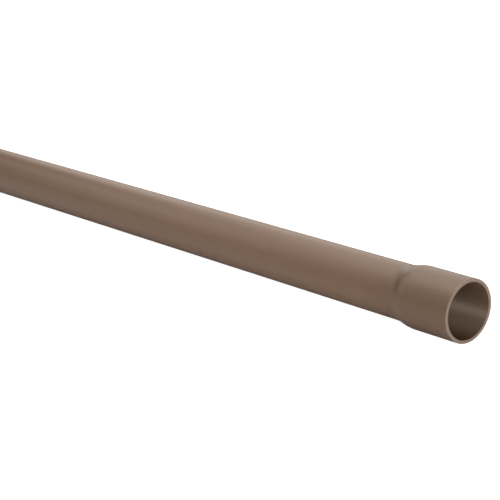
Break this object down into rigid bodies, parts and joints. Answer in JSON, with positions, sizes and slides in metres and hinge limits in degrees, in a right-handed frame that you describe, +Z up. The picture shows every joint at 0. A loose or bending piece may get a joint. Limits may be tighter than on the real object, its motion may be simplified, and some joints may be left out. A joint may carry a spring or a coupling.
{
  "type": "solvent-weld pvc water pipe",
  "caption": "Straight rigid plastic water pipe with a formed socket on one end and a bevelled plain end on the other, joined by solvent cement.",
  "frame": {"origin": "centre of the socket's mouth, on the pipe's axis", "axes": "+X out of the socket's mouth along the pipe's axis, +Z up with the pipe lying down"},
  "size_m": [3, 0.0562, 0.0562],
  "materials": {
    "pvc": "satin"
  },
  "bodies": {
    "root": {"pipe": "pvc"}
  },
  "joints": []
}
